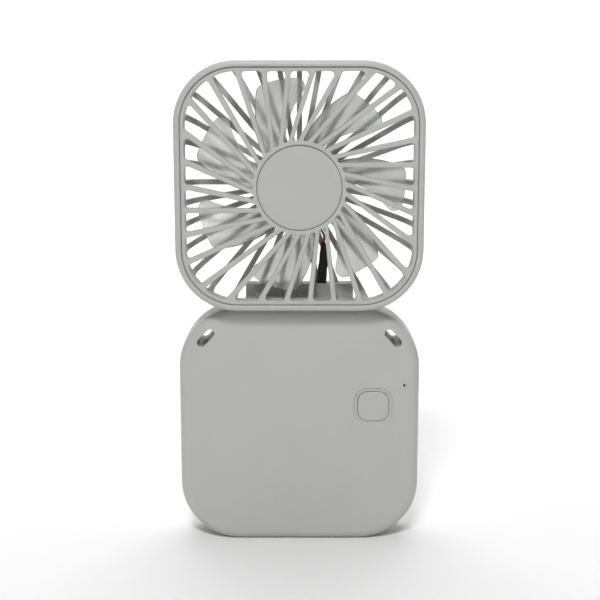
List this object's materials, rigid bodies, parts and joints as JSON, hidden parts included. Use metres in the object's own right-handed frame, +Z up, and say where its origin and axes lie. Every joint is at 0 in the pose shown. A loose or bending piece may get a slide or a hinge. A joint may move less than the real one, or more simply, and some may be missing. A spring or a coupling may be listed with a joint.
{
  "type": "folding pocket fan",
  "caption": "Rechargeable pocket fan: a rounded-square caged fan head hinged on the top edge of a rounded-square battery base with a power button.",
  "frame": {"origin": "middle of the base's underside, halfway through the base's depth", "axes": "+Z up, the front of the fan faces -Y, +X to the right seen from the front"},
  "size_m": [0.088, 0.0318, 0.1764],
  "materials": {
    "shell_grey": "fine satin moulded plastic",
    "impeller_frost": "frosted translucent moulded plastic",
    "steel": "satin steel",
    "brass": "turned brass",
    "magnet": "bonded ferrite",
    "lamination": "stacked electrical steel",
    "copper": "enamelled copper winding",
    "board_green": "solder mask",
    "part_black": "moulded black",
    "capacitor": "fired ceramic",
    "led_white": "encapsulated lamp",
    "clear_light": "clear moulded",
    "wire_red": "extruded insulation",
    "wire_black": "extruded insulation",
    "cable_black": "woven sleeve",
    "battery_foil": "laminated pouch foil",
    "foam": "adhesive foam",
    "nickel": "nickel strip",
    "washer": "acetal"
  },
  "bodies": {
    "base": {"base_front_shell": "shell_grey", "base_rear_shell": "shell_grey", "battery_board": "board_green", "battery_cell": "battery_foil", "battery_lead_black": "wire_black", "battery_lead_red": "wire_red", "battery_pad": "foam", "battery_tabs": "nickel", "black_lead_base": "wire_black", "board_capacitors": "capacitor", "board_screws": "steel", "charge_coil": "lamination", "controller_chip": "part_black", "friction_washers": "washer", "hinge_pin": "steel", "light_pipe": "clear_light", "main_board": "board_green", "red_lead_base": "wire_red", "shell_screws": "steel", "status_led": "led_white", "switch_body": "steel", "usb_socket": "steel", "usb_tongue": "part_black"},
    "head": {"rear_housing": "shell_grey", "front_grille": "shell_grey", "hub_cap": "shell_grey", "bearing_tube": "brass", "shaft_bearings": "brass", "stator_core": "lamination", "stator_coils": "copper", "motor_board": "board_green", "motor_screws": "steel", "motor_cable": "cable_black", "hinge_tube": "steel", "red_lead_head": "wire_red", "black_lead_head": "wire_black"},
    "impeller": {"impeller": "impeller_frost", "rotor_yoke": "steel", "rotor_magnet": "magnet", "shaft_bush": "brass", "motor_shaft": "steel", "shaft_clip": "washer"},
    "button": {"power_button": "shell_grey", "switch_plunger": "part_black"}
  },
  "joints": [
    {"name": "head_fold", "type": "hinge", "parent": "base", "child": "head", "pos_m": [0, 0.0103, 0.0882], "axis": [-1, 0, 0], "range_deg": [0, 180]},
    {"name": "impeller_spin", "type": "hinge", "parent": "head", "child": "impeller", "pos_m": [0, 0, 0.1324], "axis": [0, 1, 0], "continuous": true},
    {"name": "power_press", "type": "slide", "parent": "base", "child": "button", "axis": [0, 1, 0], "range_m": [0, 0.0004], "stiffness_N_per_m": 800, "springref_m": -0.0004}
  ]
}
